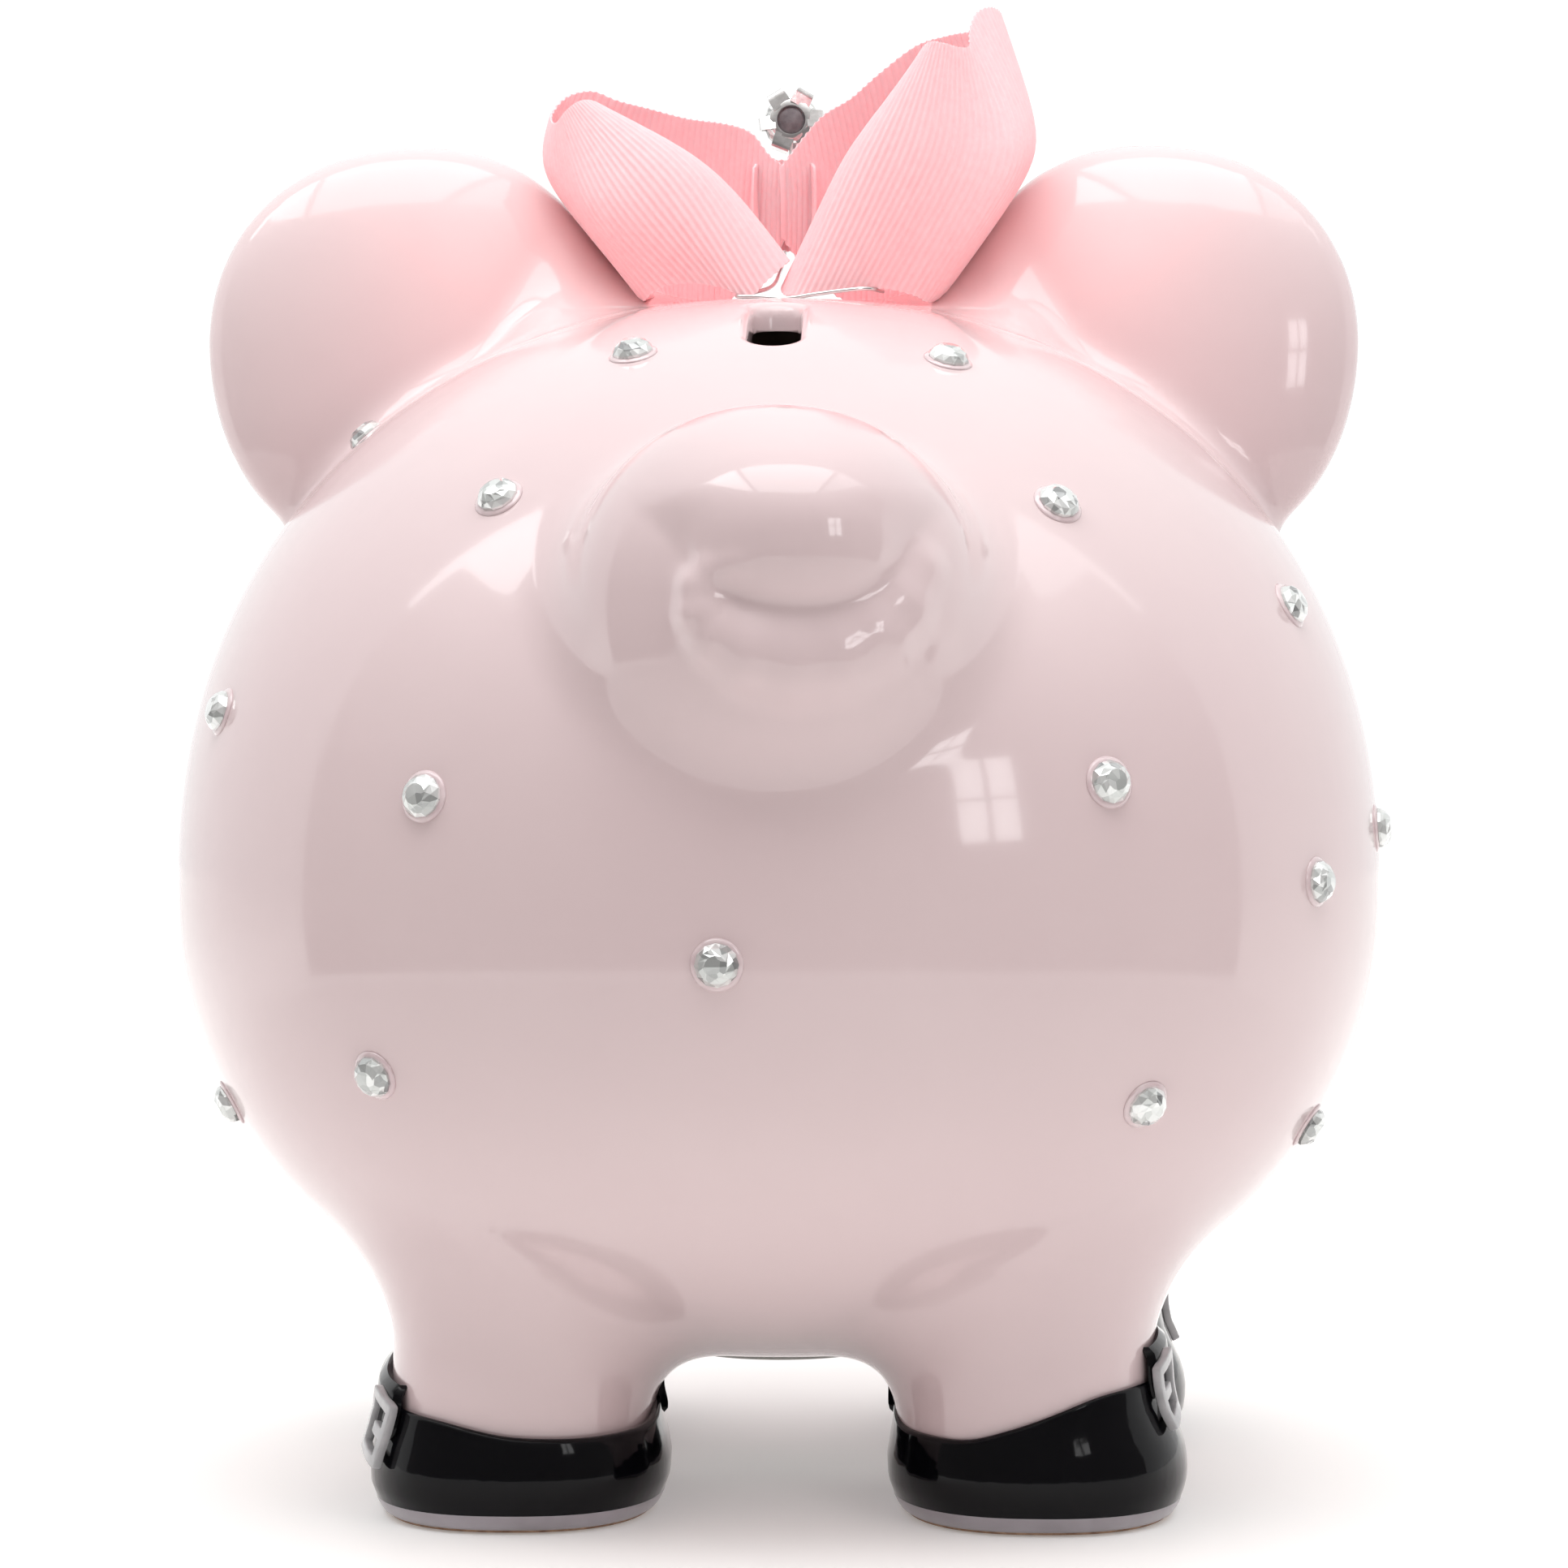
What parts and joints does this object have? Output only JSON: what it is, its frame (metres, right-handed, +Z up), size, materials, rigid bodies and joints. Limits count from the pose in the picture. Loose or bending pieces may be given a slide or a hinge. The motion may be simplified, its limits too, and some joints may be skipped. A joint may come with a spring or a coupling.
{
  "type": "figural animal coin bank",
  "caption": "Hollow glazed ceramic pig with round ears, relief tail and moulded strap shoes, a coin slot behind a ribbon bow, glued clear stones, and a rubber belly stopper.",
  "frame": {"origin": "on the ground, under the middle of the pig's bounding box", "axes": "+Z up, the pig faces -Y, +X is the pig's left side"},
  "size_m": [0.1929, 0.226, 0.2343],
  "materials": {
    "pink_glaze": "glossy pale pink glaze, with black gloss shoes and grey soles painted under it",
    "clear_rubber": "satin translucent rubber",
    "grosgrain_ribbon": "ribbed grosgrain ribbon, soft sheen",
    "silver_wire": "bright drawn wire",
    "silver_plate": "bright plated sheet metal",
    "cut_crystal": "polished facets",
    "foiled_crystal": "clear facets over silver foil"
  },
  "bodies": {
    "bank": {"ceramic_body": "pink_glaze", "bow_loop_left": "grosgrain_ribbon", "bow_loop_right": "grosgrain_ribbon", "bow_front_band": "grosgrain_ribbon", "bow_tie_wire": "silver_wire", "gem_setting": "silver_plate", "bow_gem": "cut_crystal", "rhinestone_01": "foiled_crystal", "rhinestone_02": "foiled_crystal", "rhinestone_03": "foiled_crystal", "rhinestone_04": "foiled_crystal", "rhinestone_05": "foiled_crystal", "rhinestone_06": "foiled_crystal", "rhinestone_07": "foiled_crystal", "rhinestone_08": "foiled_crystal", "rhinestone_09": "foiled_crystal", "rhinestone_10": "foiled_crystal", "rhinestone_11": "foiled_crystal", "rhinestone_12": "foiled_crystal", "rhinestone_13": "foiled_crystal", "rhinestone_14": "foiled_crystal", "rhinestone_15": "foiled_crystal", "rhinestone_16": "foiled_crystal", "rhinestone_17": "foiled_crystal", "rhinestone_18": "foiled_crystal", "rhinestone_19": "foiled_crystal", "rhinestone_20": "foiled_crystal", "rhinestone_21": "foiled_crystal", "rhinestone_22": "foiled_crystal", "rhinestone_23": "foiled_crystal", "rhinestone_24": "foiled_crystal", "rhinestone_25": "foiled_crystal", "rhinestone_26": "foiled_crystal", "rhinestone_27": "foiled_crystal", "rhinestone_28": "foiled_crystal", "rhinestone_29": "foiled_crystal", "rhinestone_30": "foiled_crystal", "rhinestone_31": "foiled_crystal", "rhinestone_32": "foiled_crystal", "rhinestone_33": "foiled_crystal"},
    "stopper": {"coin_stopper": "clear_rubber"}
  },
  "joints": [
    {"name": "stopper_pull", "type": "slide", "parent": "bank", "child": "stopper", "axis": [0, 0, -1], "range_m": [0, 0.012]}
  ]
}
